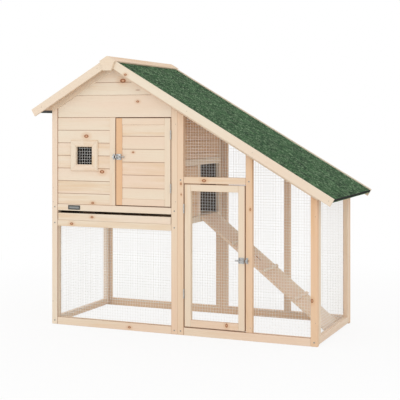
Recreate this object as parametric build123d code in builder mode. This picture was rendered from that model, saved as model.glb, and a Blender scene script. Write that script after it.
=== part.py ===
from build123d import *
from math import asin, atan2, cos, degrees, hypot, radians, sin, tan
import os

# Driving dimensions of the hutch, in millimetres. Distances named at_... are measured
# from the left end of the frame, heights from the ground.

frame_length = 1270.0
frame_depth = 550.0
house_length = 635.0
stock_width = 30.0
stock_thickness = 20.0
bottom_rail_height = 35.0
side_rail_lift = 6.0
edge_ease = 1.2
glue_line = 0.2

# Roof: two slopes from one ridge over the middle of the house
roof_pitch = 30.4
ridge_height = 1224.0
eave_overhang = 82.0
front_overhang = 48.0
rear_overhang = 80.0
barge_width = 35.0
barge_thickness = 12.0
barge_lip = 5.0
felt_thickness = 2.0
felt_lip_depth = 10.0
roof_board_thickness = 9.0
rafter_width = 35.0
cap_width = 40.0
cap_thickness = 8.0
plate_thickness = 12.0
plate_foot_width = 40.0
plate_height = 62.0

# House front
tray_rail_top = 482.0
tray_rail_height = 28.0
sill_top = 556.0
sill_height = 30.0
header_bottom = 953.0
header_height = 100.0
at_jamb = 300.0
jamb_width = 30.0
board_pitch = 58.0
board_thickness = 12.0
board_recess = 3.0
board_clearance = 0.3
tongue_depth = 5.0
tongue_thickness = 4.0
door_board_sawn_off = 9.7
board_bevel = 1.5
window_opening = 80.0
window_frame_width = 30.0
window_frame_thickness = 9.0
window_bevel = 4.0
at_window = 170.0
window_height = 779.0
at_plate = 117.0
label_width = 62.0
label_height = 20.0
label_thickness = 1.2

# Doors
house_door_gap = 2.5
run_door_gap = 3.5
transom_bottom = 664.0
transom_height = 29.0
at_mid_post = 953.0
hinge_length = 40.0
hinge_leaf_width = 15.0
hinge_leaf_thickness = 0.9
hinge_leaf_lead = 0.1
hinge_pin_radius = 1.5
hinge_knuckle_radius = 2.6
hinge_stand_off = 0.5
hinge_running_clearance = 0.05
hinge_end_clearance = 0.3
house_hinge_heights = (640.0, 876.0)
run_hinge_heights = (182.0, 554.0)
hinge_screw_pitch = 26.0

# Barrel bolts
bolt_plate_length = 26.0
bolt_plate_height = 26.0
bolt_plate_thickness = 1.5
bolt_guide_length = 4.0
bolt_guide_height = 12.0
bolt_radius = 3.0
bolt_clearance = 0.3
bolt_axis_offset = 6.0
bolt_travel = 11.0
bolt_rod_length = 42.0
bolt_tip_setback = 1.0
bolt_knob_radius = 2.5
bolt_knob_reach = 11.0
bolt_edge_margin = 2.0
keeper_length = 10.0
house_bolt_height = 776.0
run_bolt_height = 340.0

# Wall between the house and the run, with its doorway
doorway_stile_near = 236.0
doorway_stile_width = 28.0
doorway_bar_bottom = 735.0
doorway_bar_height = 28.0
floor_rail_top = 499.0
floor_rail_height = 28.0
top_rail_height = 30.0

# Pull-out tray
tray_front_thickness = 12.0
tray_front_top = 514.0
tray_wall_thickness = 12.0
tray_base_thickness = 4.0
tray_side_gap = 2.0
tray_lift = 0.5
tray_rear_gap = 8.0
runner_width = 16.0
runner_height = 16.0

# Ramp
ramp_width = 200.0
ramp_thickness = 12.0
ramp_near = 268.0
ramp_foot_gap = 10.0
cleat_width = 14.0
cleat_height = 9.0
cleat_count = 3
cleat_spacing = 188.0
first_cleat = 200.0

# Welded mesh: every third wire
mesh_pitch = 38.1
mesh_wire = 2.0
mesh_thickness = 1.5
mesh_lap = 8.0
rear_mesh_lap = 24.0
window_mesh_pitch = 12.7

# Screws: head radius, head height, shank radius and shank length
frame_screw = (3.2, 0.8, 1.8, 17.0)
fitting_screw = (2.0, 0.6, 1.1, 12.0)
bolt_screw_offset = 9.5

# Places worked out from the driving dimensions. The origin is on the ground, under the
# middle of the whole object, roof included.

pitch = radians(roof_pitch)
x_left = -frame_length / 2
x_right = frame_length / 2
whole_depth = front_overhang + frame_depth + rear_overhang + 2 * plate_thickness
y_front = front_overhang + plate_thickness - whole_depth / 2
y_inner_front = y_front + stock_thickness
y_rear = y_front + frame_depth
y_inner_rear = y_rear - stock_thickness
x_ridge = x_left + house_length / 2
x_house_end = x_left + house_length
x_house_post = x_house_end - stock_width
x_run_start = x_house_end + stock_width
x_mid_post = x_left + at_mid_post
x_bay_start = x_mid_post + stock_width
x_right_post = x_right - stock_width
x_inner_left = x_left + stock_thickness
x_inner_right = x_right - stock_thickness
x_left_post_end = x_left + stock_width
x_jamb = x_left + at_jamb
x_door_opening = x_jamb + jamb_width
x_partition = x_house_end - stock_thickness
y_barge_front = y_front - front_overhang
y_barge_rear = y_rear + rear_overhang
y_side_near = y_inner_front + stock_width
y_side_far = y_inner_rear - stock_width
x_window = x_left + at_window

felt_drop = barge_lip / cos(pitch)
board_drop = felt_drop + felt_thickness / cos(pitch)
rafter_drop = board_drop + roof_board_thickness / cos(pitch)
post_drop = rafter_drop + rafter_width / cos(pitch)


def roof_height(x, drop=0.0):
    """Height of the roof line over x, drop below the top edge of the barge boards."""
    return ridge_height - drop - abs(x - x_ridge) * tan(pitch)


def upright_plane(y):
    """A plane across the front at depth y, with X to the right and Z up."""
    return Plane.XZ.offset(-y)


def end_plane(x):
    """A plane across the side at x, with Y to the rear and Z up."""
    return Plane.YZ.offset(x)


def beam(x0, x1, y0, y1, z0, z1):
    """One square-cut timber between two corners, in the part being built."""
    with Locations(((x0 + x1) / 2, (y0 + y1) / 2, (z0 + z1) / 2)):
        Box(x1 - x0, y1 - y0, z1 - z0)


def post_outline(x0, x1, foot=0.0):
    """Front outline of a post that stands on foot and is cut to the rafter."""
    Polygon(
        (x0, foot),
        (x1, foot),
        (x1, roof_height(x1, post_drop) - glue_line),
        (x0, roof_height(x0, post_drop) - glue_line),
        align=None,
    )


def slope_corners(side, top, thickness, x_near, x_far):
    """Corners of a board on one slope: plumb at x_near, square to the slope at x_far."""
    foot_x = x_far - side * thickness * sin(pitch)
    foot_z = roof_height(x_far, top) - thickness * cos(pitch)
    return [
        (x_near, roof_height(x_near, top)),
        (x_far, roof_height(x_far, top)),
        (foot_x, foot_z),
        (x_near, roof_height(x_near, top + thickness / cos(pitch))),
    ]


def save(piece, label):
    piece.part.label = label
    export_step(piece.part, f"parts/{label}.step")


os.makedirs("parts", exist_ok=True)

# Posts of the front: two on the house, three on the run

with BuildPart() as house_front_posts:
    with BuildSketch(upright_plane(y_front)):
        post_outline(x_left, x_left_post_end)
        post_outline(x_house_post, x_house_end - glue_line)
    extrude(amount=-stock_thickness)
    chamfer(house_front_posts.edges(), edge_ease)
save(house_front_posts, "house_front_posts")

with BuildPart() as run_front_posts:
    with BuildSketch(upright_plane(y_front)):
        post_outline(x_house_end, x_run_start)
        post_outline(x_mid_post, x_bay_start, bottom_rail_height + glue_line)
        post_outline(x_right_post, x_right)
    extrude(amount=-stock_thickness)
    chamfer(run_front_posts.edges(), edge_ease)
save(run_front_posts, "run_front_posts")

with BuildPart() as front_bottom_rails:
    for x0, x1 in ((x_left_post_end, x_house_post), (x_run_start, x_right_post)):
        beam(x0 + glue_line, x1 - glue_line, y_front, y_inner_front, 0, bottom_rail_height)
    chamfer(front_bottom_rails.edges(), edge_ease)
save(front_bottom_rails, "front_bottom_rails")

# Rails under the tray, in the front and in the rear of the house

house_rail_span = (x_left_post_end + glue_line, x_house_post - glue_line)

with BuildPart() as tray_support_rails:
    for y0 in (y_front, y_inner_rear):
        beam(*house_rail_span, y0, y0 + stock_thickness, tray_rail_top - tray_rail_height, tray_rail_top)
    chamfer(tray_support_rails.edges(), edge_ease)
save(tray_support_rails, "tray_support_rails")

with BuildPart() as house_sill_rail:
    beam(*house_rail_span, y_front, y_inner_front, sill_top - sill_height, sill_top)
    chamfer(house_sill_rail.edges(), edge_ease)
save(house_sill_rail, "house_sill_rail")

with BuildPart() as run_transom:
    beam(
        x_run_start + glue_line,
        x_mid_post - glue_line,
        y_front,
        y_inner_front,
        transom_bottom,
        transom_bottom + transom_height,
    )
    chamfer(run_transom.edges(), edge_ease)
save(run_transom, "run_transom")

# Rafters, one pair in the front frame and one in the rear

for label, y0 in (("front_rafters", y_front), ("rear_rafters", y_inner_rear)):
    with BuildPart() as rafters:
        with BuildSketch(upright_plane(y0)):
            for side, x_end in ((-1, x_left), (1, x_right)):
                x_start = x_ridge + side * glue_line
                Polygon(
                    (x_start, roof_height(x_start, rafter_drop)),
                    (x_end, roof_height(x_end, rafter_drop)),
                    (x_end, roof_height(x_end, post_drop)),
                    (x_start, roof_height(x_start, post_drop)),
                    align=None,
                )
        extrude(amount=-stock_thickness)
        chamfer(rafters.edges(), edge_ease)
    save(rafters, label)

# Rear frame

with BuildPart() as rear_posts:
    with BuildSketch(upright_plane(y_inner_rear)):
        post_outline(x_left, x_left_post_end)
        post_outline(x_house_post, x_house_end - glue_line)
        post_outline(x_house_end, x_run_start)
        post_outline(x_mid_post, x_bay_start, bottom_rail_height + glue_line)
        post_outline(x_right_post, x_right)
    extrude(amount=-stock_thickness)
    chamfer(rear_posts.edges(), edge_ease)
save(rear_posts, "rear_posts")

with BuildPart() as rear_bottom_rails:
    for x0, x1 in ((x_left_post_end, x_house_post), (x_run_start, x_right_post)):
        beam(x0 + glue_line, x1 - glue_line, y_inner_rear, y_rear, 0, bottom_rail_height)
    chamfer(rear_bottom_rails.edges(), edge_ease)
save(rear_bottom_rails, "rear_bottom_rails")

# Side frames: two stiles each, with rails between them

left_frame_top = roof_height(x_left, rafter_drop) - glue_line
right_frame_top = roof_height(x_right, rafter_drop) - glue_line
side_span = (y_inner_front + glue_line, y_inner_rear - glue_line)
side_rail_span = (y_side_near + glue_line, y_side_far - glue_line)

with BuildPart() as left_side_frame:
    for y0, y1 in ((side_span[0], y_side_near), (y_side_far, side_span[1])):
        beam(x_left, x_inner_left, y0, y1, side_rail_lift, left_frame_top)
    for z0, z1 in (
        (side_rail_lift, bottom_rail_height),
        (tray_rail_top - tray_rail_height, tray_rail_top),
        (left_frame_top - top_rail_height, left_frame_top),
    ):
        beam(x_left, x_inner_left, *side_rail_span, z0, z1)
    chamfer(left_side_frame.edges(), edge_ease)
save(left_side_frame, "left_side_frame")

with BuildPart() as right_side_frame:
    for y0, y1 in ((side_span[0], y_side_near), (y_side_far, side_span[1])):
        beam(x_inner_right, x_right, y0, y1, side_rail_lift, right_frame_top)
    for z0, z1 in (
        (side_rail_lift, bottom_rail_height),
        (right_frame_top - top_rail_height, right_frame_top),
    ):
        beam(x_inner_right, x_right, *side_rail_span, z0, z1)
    chamfer(right_side_frame.edges(), edge_ease)
save(right_side_frame, "right_side_frame")

# Wall between house and run: stiles, the bar over the doorway and the floor rail

y_doorway_stile = y_front + doorway_stile_near
y_doorway = y_doorway_stile + doorway_stile_width
partition_top = roof_height(x_house_end, rafter_drop) - glue_line
partition_foot = floor_rail_top - floor_rail_height
bar_top = doorway_bar_bottom + doorway_bar_height

with BuildPart() as partition_frame:
    for y0, y1 in ((side_span[0], y_side_near), (y_side_far, side_span[1])):
        beam(x_partition, x_house_end, y0, y1, partition_foot, partition_top)
    for z0, z1 in ((partition_foot, floor_rail_top), (doorway_bar_bottom, bar_top)):
        beam(x_partition, x_house_end, *side_rail_span, z0, z1)
    beam(
        x_partition,
        x_house_end,
        y_doorway_stile,
        y_doorway,
        floor_rail_top + glue_line,
        doorway_bar_bottom - glue_line,
    )
    chamfer(partition_frame.edges(), edge_ease)
save(partition_frame, "partition_frame")


# Tongued and grooved boards


def board_section(face, inward, foot):
    """One board with its show side at face: tongue on top, groove below, bevelled edges."""
    top = foot + board_pitch - board_clearance
    tongue_near = (board_thickness - tongue_thickness) / 2
    tongue_far = tongue_near + tongue_thickness
    groove_near = tongue_near - board_clearance
    groove_far = tongue_far + board_clearance
    tongue_top = top + tongue_depth - board_clearance
    corners = [
        (board_bevel, foot),
        (groove_near, foot),
        (groove_near, foot + tongue_depth),
        (groove_far, foot + tongue_depth),
        (groove_far, foot),
        (board_thickness, foot),
        (board_thickness, top),
        (tongue_far, top),
        (tongue_far, tongue_top),
        (tongue_near, tongue_top),
        (tongue_near, top),
        (board_bevel, top),
        (0.0, top - board_bevel),
        (0.0, foot + board_bevel),
    ]
    Polygon(*[(face + inward * depth, z) for depth, z in corners], align=None)


def board_sections(face, inward, foot, top):
    """Sections of the boards that fill a wall from foot to over top."""
    for n in range(int((top - foot) / board_pitch) + 1):
        board_section(face, inward, foot + n * board_pitch)


def gable_outline(x0, x1, foot):
    """Front outline of a wall under the rafters, between x0 and x1."""
    drop = post_drop + glue_line
    Polygon(
        (x0, foot),
        (x1, foot),
        (x1, roof_height(x1, drop)),
        (x_ridge, roof_height(x_ridge, drop)),
        (x0, roof_height(x0, drop)),
        align=None,
    )


# The top board's upper edge meets the header, so the courses start where they end there
siding_foot = header_bottom - board_pitch * (int((header_bottom - sill_top) / board_pitch) + 1)
siding_depth = y_front + board_recess

with BuildPart() as front_siding_boards:
    with BuildSketch(end_plane(x_left_post_end + glue_line)):
        board_sections(siding_depth, 1, siding_foot, header_bottom - board_bevel)
    extrude(amount=x_jamb - x_left_post_end - 2 * glue_line)
    with BuildSketch(upright_plane(y_front)):
        with Locations(((x_left_post_end + x_jamb) / 2, (sill_top + header_bottom) / 2)):
            Rectangle(
                x_jamb - x_left_post_end - 2 * glue_line,
                header_bottom - sill_top - 2 * glue_line,
            )
        with Locations((x_window, window_height)):
            Rectangle(window_opening, window_opening, mode=Mode.SUBTRACT)
    extrude(amount=-stock_thickness, mode=Mode.INTERSECT)
save(front_siding_boards, "front_siding_boards")

header_top = header_bottom + header_height

with BuildPart() as front_header_board:
    with BuildSketch(upright_plane(siding_depth)):
        gable_outline(*house_rail_span, header_bottom)
        with Locations((x_ridge, header_bottom + header_height / 2)):
            Rectangle(house_length, header_height, mode=Mode.INTERSECT)
    extrude(amount=-board_thickness)
    chamfer(front_header_board.edges(), edge_ease)
save(front_header_board, "front_header_board")

with BuildPart() as front_gable_boards:
    with BuildSketch(end_plane(house_rail_span[0])):
        board_sections(siding_depth, 1, header_top + glue_line, roof_height(x_ridge, post_drop))
    extrude(amount=house_rail_span[1] - house_rail_span[0])
    with BuildSketch(upright_plane(y_front)):
        gable_outline(*house_rail_span, header_top + glue_line)
        with Locations((x_ridge, header_top / 2)):
            Rectangle(house_length, header_top, mode=Mode.SUBTRACT)
    extrude(amount=-stock_thickness, mode=Mode.INTERSECT)
save(front_gable_boards, "front_gable_boards")

with BuildPart() as rear_wall_boards:
    with BuildSketch(end_plane(house_rail_span[0])):
        rear_wall_foot = tray_rail_top + glue_line
        board_sections(y_rear - board_recess, -1, rear_wall_foot, roof_height(x_ridge, post_drop))
    extrude(amount=house_rail_span[1] - house_rail_span[0])
    with BuildSketch(upright_plane(y_inner_rear)):
        gable_outline(*house_rail_span, tray_rail_top + glue_line)
    extrude(amount=-stock_thickness, mode=Mode.INTERSECT)
save(rear_wall_boards, "rear_wall_boards")


# Boards of the side walls run from front to rear, between the stiles

side_board_span = (side_rail_span[0] + glue_line, side_rail_span[1] - glue_line)
side_board_length = side_board_span[1] - side_board_span[0]
partition_face = x_house_end - board_recess


def cut_boards_above(top):
    """Saws the last board off at top."""
    with Locations((x_ridge, (y_front + y_rear) / 2, top + board_pitch)):
        Box(2 * frame_length, 2 * frame_depth, 2 * board_pitch, mode=Mode.SUBTRACT)


with BuildPart() as left_wall_boards:
    left_board_top = left_frame_top - top_rail_height - glue_line
    with BuildSketch(upright_plane(side_board_span[0])):
        board_sections(x_left + board_recess, 1, tray_rail_top + glue_line, left_board_top)
    extrude(amount=-side_board_length)
    cut_boards_above(left_board_top)
save(left_wall_boards, "left_wall_boards")

with BuildPart() as partition_boards:
    with BuildSketch(upright_plane(side_board_span[0])):
        board_sections(partition_face, -1, floor_rail_top + glue_line, doorway_bar_bottom)
    extrude(amount=-(y_doorway_stile - glue_line - side_board_span[0]))
    cut_boards_above(doorway_bar_bottom - glue_line)
    with BuildSketch(upright_plane(side_board_span[0])):
        board_sections(partition_face, -1, bar_top + glue_line, partition_top)
    extrude(amount=-side_board_length)
    cut_boards_above(partition_top)
save(partition_boards, "partition_boards")

with BuildPart() as door_jamb:
    beam(
        x_jamb,
        x_door_opening,
        y_front,
        y_inner_front,
        sill_top + glue_line,
        header_bottom - glue_line,
    )
    chamfer(door_jamb.edges(), edge_ease)
save(door_jamb, "door_jamb")

# Window: four mitred boards round the opening, with mesh behind the siding

window_half = window_opening / 2 + window_frame_width

with BuildPart() as window_frame:
    with BuildSketch(upright_plane(siding_depth - window_frame_thickness)):
        with Locations((x_window, window_height)):
            for turn in range(4):
                with Locations(Rotation(0, 0, 90 * turn)):
                    Polygon(
                        (-window_half + glue_line, window_half),
                        (window_half - glue_line, window_half),
                        (window_opening / 2 - glue_line, window_opening / 2),
                        (-window_opening / 2 + glue_line, window_opening / 2),
                        align=None,
                    )
    extrude(amount=-window_frame_thickness)
    front_edges = window_frame.faces().filter_by(Axis.Y).group_by(Axis.Y)[0].edges()
    chamfer(front_edges.filter_by(Axis.X) + front_edges.filter_by(Axis.Z), window_bevel)
save(window_frame, "window_frame")


def mesh_holes(x0, x1, z0, z1, step):
    """Square holes of a grid that fills a rectangle, leaving a wire's width all round."""
    across = int((x1 - x0 - mesh_wire) / step)
    up = int((z1 - z0 - mesh_wire) / step)
    with Locations(((x0 + x1) / 2, (z0 + z1) / 2)):
        with GridLocations(step, step, across, up):
            Rectangle(step - mesh_wire, step - mesh_wire, mode=Mode.SUBTRACT)


siding_back = siding_depth + board_thickness
window_mesh_half = window_opening / 2 + mesh_lap

with BuildPart() as window_mesh:
    with BuildSketch(upright_plane(siding_back + glue_line)):
        with Locations((x_window, window_height)):
            Rectangle(2 * window_mesh_half, 2 * window_mesh_half)
        mesh_holes(
            x_window - window_mesh_half,
            x_window + window_mesh_half,
            window_height - window_mesh_half,
            window_height + window_mesh_half,
            window_mesh_pitch,
        )
    extrude(amount=-mesh_thickness)
save(window_mesh, "window_mesh")

with BuildPart() as blank_label_plate:
    with BuildSketch(upright_plane(y_front)):
        with Locations((x_left + at_plate, sill_top - sill_height / 2)):
            RectangleRounded(label_width, label_height, label_thickness)
    extrude(amount=label_thickness)
save(blank_label_plate, "blank_label_plate")

# Roof: boards, felt that turns down at the eave, barge boards, ridge cap and end plate

roof_span = (y_barge_front + barge_thickness, y_barge_rear - barge_thickness)

for label, side, x_eave in (
    ("left", -1, x_left - eave_overhang),
    ("right", 1, x_right + eave_overhang),
):
    x_start = x_ridge + side * glue_line
    lip_x = felt_thickness * cos(pitch)
    board_eave = x_eave - side * (lip_x + barge_lip * sin(pitch) + felt_thickness * sin(pitch))

    with BuildPart() as roof_board:
        with BuildSketch(upright_plane(roof_span[0])):
            corners = slope_corners(side, board_drop, roof_board_thickness, x_start, board_eave)
            Polygon(*corners, align=None)
        extrude(amount=-(roof_span[1] - roof_span[0]))
    save(roof_board, f"roof_board_{label}")

    felt_eave = board_eave + side * (lip_x + felt_thickness * sin(pitch))
    lip_top = (board_eave + side * lip_x, roof_height(board_eave, board_drop) - felt_thickness * sin(pitch))
    lip_drop = (-side * felt_lip_depth * sin(pitch), -felt_lip_depth * cos(pitch))
    with BuildPart() as roof_felt:
        with BuildSketch(upright_plane(roof_span[0])):
            Polygon(
                (x_start, roof_height(x_start, felt_drop)),
                (felt_eave, roof_height(felt_eave, felt_drop)),
                (lip_top[0] + lip_drop[0], lip_top[1] + lip_drop[1]),
                (board_eave + lip_drop[0], roof_height(board_eave, board_drop) + lip_drop[1]),
                (board_eave, roof_height(board_eave, board_drop)),
                (x_start, roof_height(x_start, board_drop)),
                align=None,
            )
        extrude(amount=-(roof_span[1] - roof_span[0]))
    save(roof_felt, f"roof_felt_{label}")

x_cap_foot = cap_width * cos(pitch)

for label, y0 in (("front_barge_boards", y_barge_front), ("rear_barge_boards", roof_span[1])):
    with BuildPart() as barge_boards:
        with BuildSketch(upright_plane(y0)):
            for side, x_end in ((-1, x_left - eave_overhang), (1, x_right + eave_overhang)):
                x_start = x_ridge + side * glue_line
                x_notch = x_ridge + side * (x_cap_foot + glue_line)
                x_notch_top = x_notch + side * barge_lip * sin(pitch)
                outline = slope_corners(side, 0.0, barge_width, x_start, x_end)
                Polygon(
                    (x_start, roof_height(x_start, felt_drop + glue_line)),
                    (x_notch, roof_height(x_notch, felt_drop + glue_line)),
                    (x_notch_top, roof_height(x_notch_top)),
                    outline[1],
                    outline[2],
                    outline[3],
                    align=None,
                )
        extrude(amount=-barge_thickness)
        chamfer(barge_boards.edges().filter_by(Axis.Y, reverse=True), edge_ease)
    save(barge_boards, label)

cap_drop = felt_drop - cap_thickness / cos(pitch)
x_cap_edge = x_cap_foot + cap_thickness * sin(pitch)

with BuildPart() as ridge_cap_boards:
    with BuildSketch(upright_plane(y_barge_front)):
        for side in (-1, 1):
            x_start = x_ridge + side * glue_line
            corners = slope_corners(side, cap_drop, cap_thickness, x_start, x_ridge + side * x_cap_edge)
            Polygon(*corners, align=None)
    extrude(amount=-(y_barge_rear - y_barge_front))
    chamfer(ridge_cap_boards.edges(), edge_ease)
save(ridge_cap_boards, "ridge_cap_boards")

plate_foot = ridge_height - plate_height

with BuildPart() as ridge_end_plates:
    for y0 in (-whole_depth / 2, y_barge_rear + glue_line):
        with BuildSketch(upright_plane(y0)):
            sides = [(x_ridge + way * x_cap_edge, x_ridge + way * x_cap_foot) for way in (-1, 1)]
            left, right = [
                ((edge, roof_height(edge, cap_drop)), (foot, roof_height(foot, felt_drop)))
                for edge, foot in sides
            ]
            Polygon(
                (x_ridge, roof_height(x_ridge, cap_drop)),
                *right,
                (x_ridge + plate_foot_width / 2, plate_foot),
                (x_ridge - plate_foot_width / 2, plate_foot),
                *reversed(left),
                align=None,
            )
        extrude(amount=-(plate_thickness - glue_line))
    chamfer(ridge_end_plates.edges(), edge_ease)
save(ridge_end_plates, "ridge_end_plates")

# Mesh panels, stapled to the inner faces of the frames


def level_mesh(x0, x1, z0, z1):
    """A rectangular panel of mesh."""
    Polygon((x0, z0), (x1, z0), (x1, z1), (x0, z1), align=None)
    mesh_holes(x0, x1, z0, z1, mesh_pitch)


def under_slope(x0, x1, z0, drop):
    """Outline with a level foot at z0 and a top that follows the roof."""
    Polygon((x0, z0), (x1, z0), (x1, roof_height(x1, drop)), (x0, roof_height(x0, drop)), align=None)


lower_mesh_top = tray_rail_top - tray_rail_height + mesh_lap
mesh_foot = bottom_rail_height - mesh_lap
front_mesh_y = y_inner_front
rear_mesh_y = y_inner_rear - mesh_thickness

with BuildPart() as mesh_lower_front:
    with BuildSketch(upright_plane(front_mesh_y)):
        level_mesh(x_left_post_end - mesh_lap, x_house_post + mesh_lap, mesh_foot, lower_mesh_top)
    extrude(amount=-mesh_thickness)
save(mesh_lower_front, "mesh_lower_front")

with BuildPart() as mesh_lower_rear:
    with BuildSketch(upright_plane(rear_mesh_y)):
        level_mesh(x_left_post_end - mesh_lap, x_house_post + rear_mesh_lap, mesh_foot, lower_mesh_top)
    extrude(amount=-mesh_thickness)
save(mesh_lower_rear, "mesh_lower_rear")

with BuildPart() as mesh_lower_left:
    with BuildSketch(end_plane(x_inner_left)):
        level_mesh(y_side_near - mesh_lap, y_side_far + mesh_lap, mesh_foot, lower_mesh_top)
    extrude(amount=mesh_thickness)
save(mesh_lower_left, "mesh_lower_left")

upper_panel = (
    x_run_start - mesh_lap,
    x_mid_post + mesh_lap,
    transom_bottom + transom_height - mesh_lap,
)
bay_panel = (x_bay_start - mesh_lap, x_right_post + mesh_lap, mesh_foot)
rear_door_panel = (x_run_start - rear_mesh_lap, x_mid_post + mesh_lap, mesh_foot)
sloped_mesh_drop = post_drop - mesh_lap

for label, y0, panels in (
    ("mesh_run_upper", front_mesh_y, [upper_panel]),
    ("mesh_run_bay", front_mesh_y, [bay_panel]),
    ("mesh_run_rear", rear_mesh_y, [rear_door_panel, bay_panel]),
):
    with BuildPart() as sloped_mesh:
        with BuildSketch(upright_plane(y0)):
            for panel in panels:
                under_slope(*panel, sloped_mesh_drop)
        extrude(amount=-mesh_thickness)
        with BuildSketch(upright_plane(y0)):
            for x0, x1, z0 in panels:
                cell = mesh_pitch - mesh_wire
                across = int((x1 - x0 - mesh_wire) / mesh_pitch)
                up = int((roof_height(x0, sloped_mesh_drop) - z0) / mesh_pitch) + 1
                middle = ((x0 + x1) / 2, z0 + mesh_wire + up * mesh_pitch / 2)
                with Locations(middle):
                    with GridLocations(mesh_pitch, mesh_pitch, across, up):
                        Rectangle(cell, cell)
            Polygon(
                (x_house_end, roof_height(x_house_end, sloped_mesh_drop + mesh_wire)),
                (x_right, roof_height(x_right, sloped_mesh_drop + mesh_wire)),
                (x_right, 2 * ridge_height),
                (x_house_end, 2 * ridge_height),
                align=None,
                mode=Mode.SUBTRACT,
            )
        extrude(amount=-mesh_thickness, mode=Mode.SUBTRACT)
    save(sloped_mesh, label)

with BuildPart() as mesh_run_right:
    with BuildSketch(end_plane(x_inner_right - mesh_thickness)):
        level_mesh(
            y_side_near - mesh_lap,
            y_side_far + mesh_lap,
            mesh_foot,
            right_frame_top - top_rail_height + mesh_lap,
        )
    extrude(amount=mesh_thickness)
save(mesh_run_right, "mesh_run_right")

# Doors: a frame of two stiles and two rails each


def door_frame_members(x0, x1, z0, z1):
    for start, end in ((x0, x0 + stock_width), (x1 - stock_width, x1)):
        beam(start, end, y_front, y_inner_front, z0, z1)
    for foot, top in ((z0, z0 + stock_width), (z1 - stock_width, z1)):
        beam(x0 + stock_width + glue_line, x1 - stock_width - glue_line, y_front, y_inner_front, foot, top)


house_door_x = (x_door_opening + house_door_gap, x_house_post - house_door_gap)
house_door_z = (sill_top + house_door_gap, header_bottom - house_door_gap)
run_door_x = (x_run_start + run_door_gap, x_mid_post - run_door_gap)
run_door_z = (bottom_rail_height + run_door_gap, transom_bottom - run_door_gap)

with BuildPart() as house_door_frame:
    door_frame_members(*house_door_x, *house_door_z)
    chamfer(house_door_frame.edges(), edge_ease)
save(house_door_frame, "house_door_frame")

with BuildPart() as house_door_boards:
    inner_x = (house_door_x[0] + stock_width + glue_line, house_door_x[1] - stock_width - glue_line)
    inner_z = (house_door_z[0] + stock_width + glue_line, house_door_z[1] - stock_width - glue_line)
    with BuildSketch(end_plane(inner_x[0])):
        board_sections(siding_depth, 1, inner_z[0] - door_board_sawn_off, inner_z[1])
    extrude(amount=inner_x[1] - inner_x[0])
    with Locations(((inner_x[0] + inner_x[1]) / 2, y_front, (inner_z[0] + inner_z[1]) / 2)):
        Box(inner_x[1] - inner_x[0], 4 * stock_thickness, inner_z[1] - inner_z[0], mode=Mode.INTERSECT)
save(house_door_boards, "house_door_boards")

with BuildPart() as run_door_frame:
    door_frame_members(*run_door_x, *run_door_z)
    chamfer(run_door_frame.edges(), edge_ease)
save(run_door_frame, "run_door_frame")

door_mesh_x = (run_door_x[0] + stock_width - mesh_lap, run_door_x[1] - stock_width + mesh_lap)
door_mesh_z = (run_door_z[0] + stock_width - mesh_lap, run_door_z[1] - stock_width + mesh_lap)

with BuildPart() as run_door_mesh:
    with BuildSketch(upright_plane(y_inner_front)):
        level_mesh(*door_mesh_x, *door_mesh_z)
    extrude(amount=-mesh_thickness)
save(run_door_mesh, "run_door_mesh")

# Butt hinges in the gap beside the door, with only the knuckles in front. The post leaf
# has the end knuckles and the pin, the door leaf the middle knuckle, which turns on the pin.

y_hinge = y_front - hinge_stand_off - hinge_knuckle_radius
y_leaf_edge = y_front - hinge_leaf_lead
y_leaf_middle = y_leaf_edge + hinge_leaf_width / 2
knuckle_length = hinge_length / 3
middle_knuckle = knuckle_length - 2 * hinge_end_clearance
door_knuckle_bore = hinge_pin_radius + hinge_running_clearance


def hinge_leaf(x_hinge, gap, side, z, knuckle_spans):
    """Leaf flat against the edge of the timber, with tongues that reach its knuckles."""
    x_leaf = x_hinge + side * (gap - hinge_leaf_thickness) / 2
    with Locations((x_leaf, y_leaf_middle, z)):
        Box(hinge_leaf_thickness, hinge_leaf_width, hinge_length)
    for centre, length in knuckle_spans:
        with Locations((x_leaf, (y_hinge + y_leaf_edge) / 2, z + centre)):
            Box(hinge_leaf_thickness, y_leaf_edge - y_hinge, length)
        with Locations((x_hinge, y_hinge, z + centre)):
            Cylinder(hinge_knuckle_radius, length)


house_hinge_x = (house_door_x[1] + x_house_post) / 2
run_hinge_x = (run_door_x[0] + x_run_start) / 2
end_knuckles = [(knuckle_length, knuckle_length), (-knuckle_length, knuckle_length)]

# Hinge line, gap, side of the door and heights, for each door
house_hinges = (house_hinge_x, house_door_gap, -1, house_hinge_heights)
run_hinges = (run_hinge_x, run_door_gap, 1, run_hinge_heights)

for label, hinges in (("house_door_hinge_leaves", house_hinges), ("run_door_hinge_leaves", run_hinges)):
    x_hinge, gap, door_side, heights = hinges
    with BuildPart() as door_leaves:
        for z in heights:
            hinge_leaf(x_hinge, gap, door_side, z, [(0.0, middle_knuckle)])
            with Locations((x_hinge, y_hinge, z)):
                Cylinder(door_knuckle_bore, hinge_length, mode=Mode.SUBTRACT)
    save(door_leaves, label)

with BuildPart() as post_hinge_leaves:
    for x_hinge, gap, door_side, heights in (house_hinges, run_hinges):
        for z in heights:
            hinge_leaf(x_hinge, gap, -door_side, z, end_knuckles)
            with Locations((x_hinge, y_hinge, z)):
                Cylinder(hinge_pin_radius, hinge_length)
save(post_hinge_leaves, "post_hinge_leaves")

# Barrel bolts: plate with two guides on the door, sliding rod, keeper on the post

y_bolt = y_front - bolt_axis_offset
guide_bore = bolt_radius + bolt_clearance
guide_depth = bolt_axis_offset + guide_bore + bolt_plate_thickness


def bolt_guide(x, z, length):
    """A block round the rod's line, bored with a running clearance."""
    with Locations((x, y_front - guide_depth / 2, z)):
        Box(length, guide_depth, bolt_guide_height)


def rod_bore(x, z, length):
    with Locations(Location((x, y_bolt, z), (0, 90, 0))):
        Cylinder(guide_bore, length, mode=Mode.SUBTRACT)


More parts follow.
